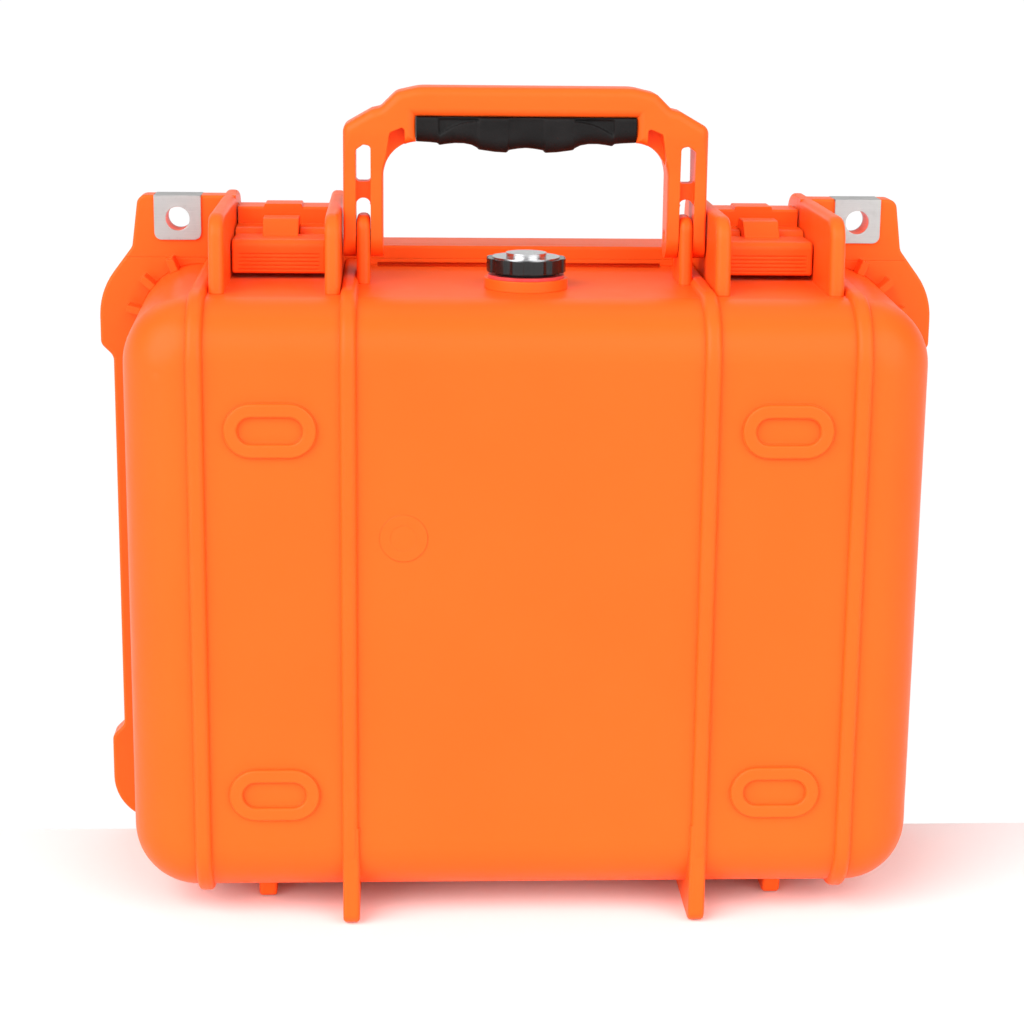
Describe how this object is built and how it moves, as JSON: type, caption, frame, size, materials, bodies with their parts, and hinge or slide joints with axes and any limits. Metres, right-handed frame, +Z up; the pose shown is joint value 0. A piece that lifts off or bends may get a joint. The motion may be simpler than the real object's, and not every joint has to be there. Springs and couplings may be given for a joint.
{
  "type": "first aid kit",
  "caption": "Waterproof hard case with folding handle, double-throw latches, purge valve and foam inserts that hold first-aid supplies.",
  "frame": {"origin": "floor level under the middle of the case's footprint, standing on its hinge side", "axes": "+Z up from the hinge side to the handle side; -Y out of the base's outer face; +Y out of the lid; +X to the right seen from the base"},
  "size_m": [0.34, 0.152, 0.3182],
  "materials": {
    "case_plastic": "satin moulded polypropylene, signal orange",
    "steel": "stainless, lightly brushed",
    "black_plastic": "satin black",
    "knob_plastic": "gloss black",
    "cap_metal": "polished disc",
    "membrane": "porous vent membrane",
    "red_washer": "translucent pink-red washer",
    "seal_rubber": "black sealing rubber",
    "grip_rubber": "soft black overmoulded rubber",
    "foam": "charcoal closed-cell foam",
    "bandage": "woven cotton crepe",
    "packet_paper": "sterile paper sachets",
    "foil": "folded foil",
    "cotton": "folded calico",
    "bottle_plastic": "translucent polyethylene",
    "cap_plastic": "blue screw cap",
    "tape": "woven adhesive tape",
    "core_plastic": "white spool",
    "plate_plastic": "blank black name plate"
  },
  "bodies": {
    "root": {"base_shell": "case_plastic", "base_flange": "case_plastic", "base_fin_outer_right": "case_plastic", "base_fin_outer_left": "case_plastic", "base_fin_inner_right": "case_plastic", "base_fin_inner_left": "case_plastic", "handle_ear_right": "case_plastic", "handle_ear_left": "case_plastic", "padlock_lug_right": "case_plastic", "padlock_lug_left": "case_plastic", "base_lip": "case_plastic", "valve_boss": "case_plastic", "latch_ledge_right": "case_plastic", "latch_ledge_left": "case_plastic", "hinge_pin_right": "steel", "hinge_pin_left": "steel", "handle_pin_right": "steel", "handle_pin_left": "steel", "base_plate_right": "steel", "base_plate_left": "steel", "tweezers": "steel", "valve_body": "black_plastic", "valve_nut": "black_plastic", "valve_membrane": "membrane", "valve_washer": "red_washer", "valve_ring": "seal_rubber", "foam_base": "foam", "bandage_roll_1": "bandage", "bandage_roll_2": "bandage", "bandage_roll_3": "bandage", "bandage_roll_4": "bandage", "gauze_pack_1": "packet_paper", "gauze_pack_2": "packet_paper", "foil_blanket": "foil", "triangular_bandage": "cotton", "antiseptic_bottle": "bottle_plastic", "bottle_cap": "cap_plastic", "tape_roll_1": "tape", "tape_roll_2": "tape", "tape_core_1": "core_plastic", "tape_core_2": "core_plastic"},
    "lid": {"lid_shell": "case_plastic", "lid_seal": "seal_rubber", "name_plate": "plate_plastic", "latch_pin_right": "steel", "latch_pin_left": "steel", "lid_plate_right": "steel", "lid_plate_left": "steel", "foam_lid": "foam"},
    "handle": {"handle_frame": "case_plastic", "handle_grip": "grip_rubber"},
    "purge_knob": {"purge_knob": "knob_plastic", "knob_cap": "cap_metal"},
    "latch_link_right": {"latch_link_right": "case_plastic", "lever_pin_right": "steel"},
    "latch_lever_right": {"latch_lever_right": "case_plastic"},
    "latch_link_left": {"latch_link_left": "case_plastic", "lever_pin_left": "steel"},
    "latch_lever_left": {"latch_lever_left": "case_plastic"}
  },
  "joints": [
    {"name": "lid_hinge", "type": "hinge", "parent": "root", "child": "lid", "pos_m": [0, 0.031, 0.005], "axis": [-1, 0, 0], "range_deg": [0, 100]},
    {"name": "handle_swing", "type": "hinge", "parent": "root", "child": "handle", "pos_m": [0, -0.0115, 0.261], "axis": [1, 0, 0], "range_deg": [-15, 90]},
    {"name": "latch_link_right", "type": "hinge", "parent": "lid", "child": "latch_link_right", "pos_m": [0, 0.0415, 0.2585], "axis": [-1, 0, 0], "range_deg": [0, 110]},
    {"name": "latch_link_left", "type": "hinge", "parent": "lid", "child": "latch_link_left", "pos_m": [0, 0.0415, 0.2585], "axis": [-1, 0, 0], "range_deg": [0, 110]},
    {"name": "latch_lever_right", "type": "hinge", "parent": "latch_link_right", "child": "latch_lever_right", "pos_m": [0, 0.015, 0.256], "axis": [-1, 0, 0], "range_deg": [0, 70]},
    {"name": "latch_lever_left", "type": "hinge", "parent": "latch_link_left", "child": "latch_lever_left", "pos_m": [0, 0.015, 0.256], "axis": [-1, 0, 0], "range_deg": [0, 70]},
    {"name": "knob_turn", "type": "hinge", "parent": "root", "child": "purge_knob", "pos_m": [0, -0.0285, 0.252], "axis": [0, 0, 1], "range_deg": [0, 270]}
  ]
}
